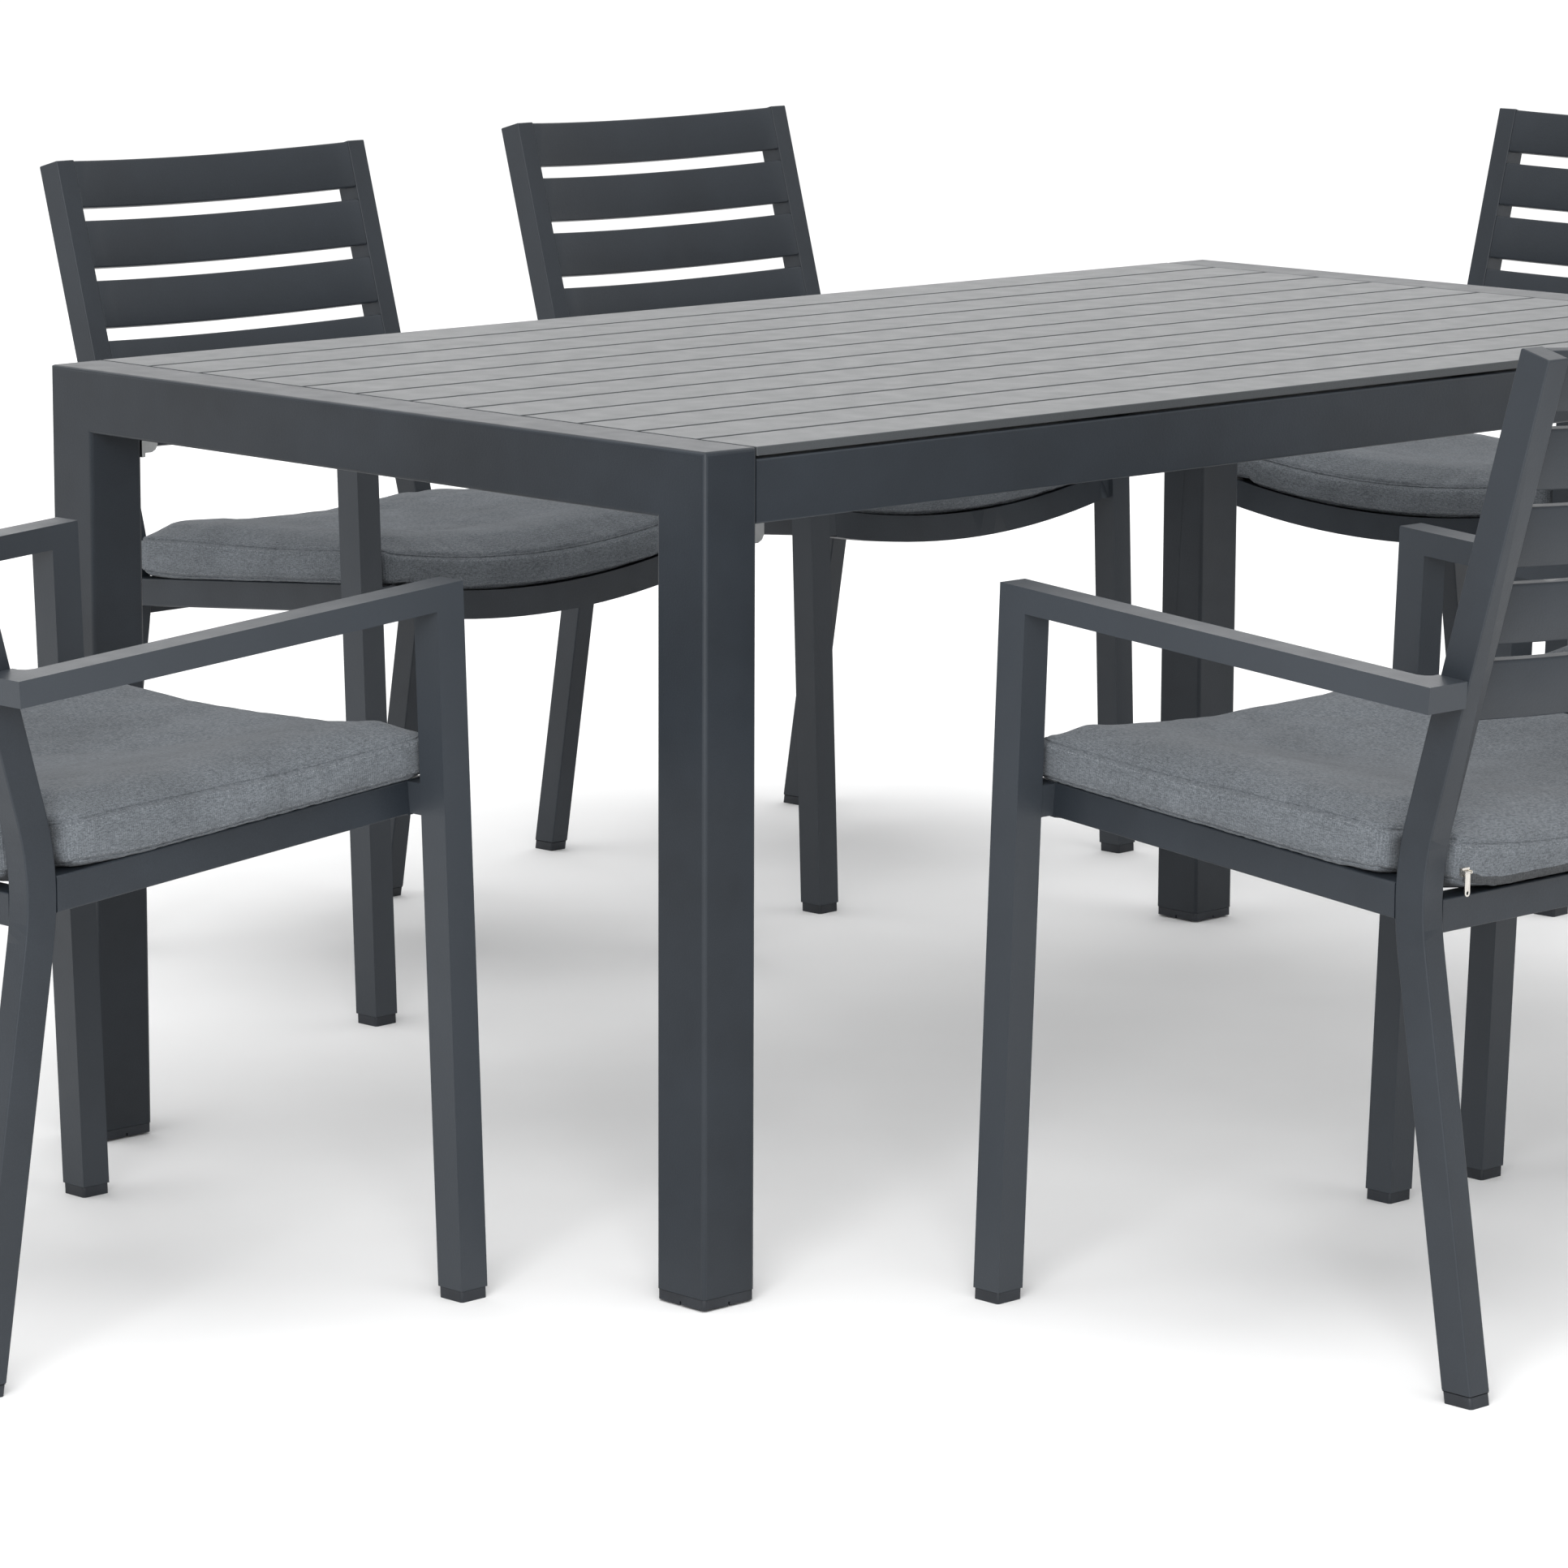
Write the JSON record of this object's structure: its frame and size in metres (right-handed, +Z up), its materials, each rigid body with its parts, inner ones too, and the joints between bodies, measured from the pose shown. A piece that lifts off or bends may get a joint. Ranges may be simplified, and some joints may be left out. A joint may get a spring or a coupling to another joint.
{
  "type": "patio dining set",
  "caption": "Rectangular slatted metal garden table with square legs, surrounded by matching metal armchairs with curved slatted backs and padded seat cushions.",
  "frame": {"origin": "centre of the table's footprint, on the floor", "axes": "+X along the table's length, +Y across the table towards the far chairs, +Z up"},
  "size_m": [3.1119, 2.4432, 0.863],
  "materials": {
    "table_frame": "satin powder coat",
    "table_top": "satin powder coat",
    "chair_frame": "satin powder coat",
    "chair_slats": "satin powder coat",
    "zinc_steel": "zinc plated",
    "foot_plastic": "matte",
    "glide_plastic": "matte",
    "cushion_fabric": "woven",
    "zip_metal": "polished"
  },
  "bodies": {
    "table": {"table_end_left": "table_frame", "table_end_right": "table_frame", "table_underframe": "table_frame", "table_slats": "table_top", "table_brackets": "zinc_steel", "table_bolts": "zinc_steel", "table_foot_caps": "foot_plastic"},
    "glide_near_left_body": {"glide_near_left": "glide_plastic"},
    "glide_near_right_body": {"glide_near_right": "glide_plastic"},
    "glide_far_left_body": {"glide_far_left": "glide_plastic"},
    "glide_far_right_body": {"glide_far_right": "glide_plastic"},
    "near1_chair": {"near1_arms": "chair_frame", "near1_back_frame": "chair_frame", "near1_back_slats": "chair_slats", "near1_seat_frame": "chair_frame", "near1_feet": "foot_plastic"},
    "near1_cushion_body": {"near1_cushion": "cushion_fabric", "near1_zip_slider": "zip_metal"},
    "near1_pull_body": {"near1_zip_pull": "zip_metal"},
    "near2_chair": {"near2_arms": "chair_frame", "near2_back_frame": "chair_frame", "near2_back_slats": "chair_slats", "near2_seat_frame": "chair_frame", "near2_feet": "foot_plastic"},
    "near2_cushion_body": {"near2_cushion": "cushion_fabric", "near2_zip_slider": "zip_metal"},
    "near2_pull_body": {"near2_zip_pull": "zip_metal"},
    "far1_chair": {"far1_arms": "chair_frame", "far1_back_frame": "chair_frame", "far1_back_slats": "chair_slats", "far1_seat_frame": "chair_frame", "far1_feet": "foot_plastic"},
    "far1_cushion_body": {"far1_cushion": "cushion_fabric", "far1_zip_slider": "zip_metal"},
    "far1_pull_body": {"far1_zip_pull": "zip_metal"},
    "far2_chair": {"far2_arms": "chair_frame", "far2_back_frame": "chair_frame", "far2_back_slats": "chair_slats", "far2_seat_frame": "chair_frame", "far2_feet": "foot_plastic"},
    "far2_cushion_body": {"far2_cushion": "cushion_fabric", "far2_zip_slider": "zip_metal"},
    "far2_pull_body": {"far2_zip_pull": "zip_metal"},
    "left_chair": {"left_arms": "chair_frame", "left_back_frame": "chair_frame", "left_back_slats": "chair_slats", "left_seat_frame": "chair_frame", "left_feet": "foot_plastic"},
    "left_cushion_body": {"left_cushion": "cushion_fabric", "left_zip_slider": "zip_metal"},
    "left_pull_body": {"left_zip_pull": "zip_metal"},
    "right_chair": {"right_arms": "chair_frame", "right_back_frame": "chair_frame", "right_back_slats": "chair_slats", "right_seat_frame": "chair_frame", "right_feet": "foot_plastic"},
    "right_cushion_body": {"right_cushion": "cushion_fabric", "right_zip_slider": "zip_metal"},
    "right_pull_body": {"right_zip_pull": "zip_metal"}
  },
  "joints": [
    {"name": "glide_near_left_screw", "type": "slide", "parent": "table", "child": "glide_near_left_body", "axis": [0, 0, 1], "range_m": [0, 0.004]},
    {"name": "glide_near_right_screw", "type": "slide", "parent": "table", "child": "glide_near_right_body", "axis": [0, 0, 1], "range_m": [0, 0.004]},
    {"name": "glide_far_left_screw", "type": "slide", "parent": "table", "child": "glide_far_left_body", "axis": [0, 0, 1], "range_m": [0, 0.004]},
    {"name": "glide_far_right_screw", "type": "slide", "parent": "table", "child": "glide_far_right_body", "axis": [0, 0, 1], "range_m": [0, 0.004]},
    {"name": "near1_chair_slide", "type": "slide", "parent": "table", "child": "near1_chair", "axis": [0, 1, 0], "range_m": [-0.3, 0.2]},
    {"name": "near1_cushion_lift", "type": "slide", "parent": "near1_chair", "child": "near1_cushion_body", "axis": [0, 0.2588, 0.9659], "range_m": [0, 0.14]},
    {"name": "near1_pull_swing", "type": "hinge", "parent": "near1_cushion_body", "child": "near1_pull_body", "pos_m": [-0.515, -1.04361, 0.43184], "axis": [1, 0, 0], "range_deg": [-110, 10]},
    {"name": "near2_chair_slide", "type": "slide", "parent": "table", "child": "near2_chair", "axis": [0, 1, 0], "range_m": [-0.3, 0.2]},
    {"name": "near2_cushion_lift", "type": "slide", "parent": "near2_chair", "child": "near2_cushion_body", "axis": [0, 0.2588, 0.9659], "range_m": [0, 0.14]},
    {"name": "near2_pull_swing", "type": "hinge", "parent": "near2_cushion_body", "child": "near2_pull_body", "pos_m": [0.131, -1.04361, 0.43184], "axis": [1, 0, 0], "range_deg": [-110, 10]},
    {"name": "far1_chair_slide", "type": "slide", "parent": "table", "child": "far1_chair", "axis": [0.0558, -0.9984, 0], "range_m": [-0.3, 0.22]},
    {"name": "far1_cushion_lift", "type": "slide", "parent": "far1_chair", "child": "far1_cushion_body", "axis": [0.0144, -0.2584, 0.9659], "range_m": [0, 0.14]},
    {"name": "far1_pull_swing", "type": "hinge", "parent": "far1_cushion_body", "child": "far1_pull_body", "pos_m": [0.15666, 1.10163, 0.43184], "axis": [-0.9984, -0.0558, 0], "range_deg": [-110, 10]},
    {"name": "far2_chair_slide", "type": "slide", "parent": "table", "child": "far2_chair", "axis": [0.0384, -0.9993, 0], "range_m": [-0.3, 0.03]},
    {"name": "far2_cushion_lift", "type": "slide", "parent": "far2_chair", "child": "far2_cushion_body", "axis": [0.0099, -0.2586, 0.9659], "range_m": [0, 0.14]},
    {"name": "far2_pull_swing", "type": "hinge", "parent": "far2_cushion_body", "child": "far2_pull_body", "pos_m": [0.91064, 1.20266, 0.43184], "axis": [-0.9993, -0.0384, 0], "range_deg": [-110, 10]},
    {"name": "left_chair_slide", "type": "slide", "parent": "table", "child": "left_chair", "axis": [0.9997, 0.0262, 0], "range_m": [-0.3, 0.2]},
    {"name": "left_cushion_lift", "type": "slide", "parent": "left_chair", "child": "left_cushion_body", "axis": [0.2587, 0.0068, 0.9659], "range_m": [0, 0.14]},
    {"name": "left_pull_swing", "type": "hinge", "parent": "left_cushion_body", "child": "left_pull_body", "pos_m": [-1.38349, 0.16919, 0.43184], "axis": [0.0262, -0.9997, 0], "range_deg": [-110, 10]},
    {"name": "right_chair_slide", "type": "slide", "parent": "table", "child": "right_chair", "axis": [-0.9982, -0.0593, 0], "range_m": [-0.3, 0.2]},
    {"name": "right_cushion_lift", "type": "slide", "parent": "right_chair", "child": "right_cushion_body", "axis": [-0.2584, -0.0153, 0.9659], "range_m": [0, 0.14]},
    {"name": "right_pull_swing", "type": "hinge", "parent": "right_cushion_body", "child": "right_pull_body", "pos_m": [1.53021, 0.24544, 0.43184], "axis": [-0.0593, 0.9982, 0], "range_deg": [-110, 10]}
  ]
}
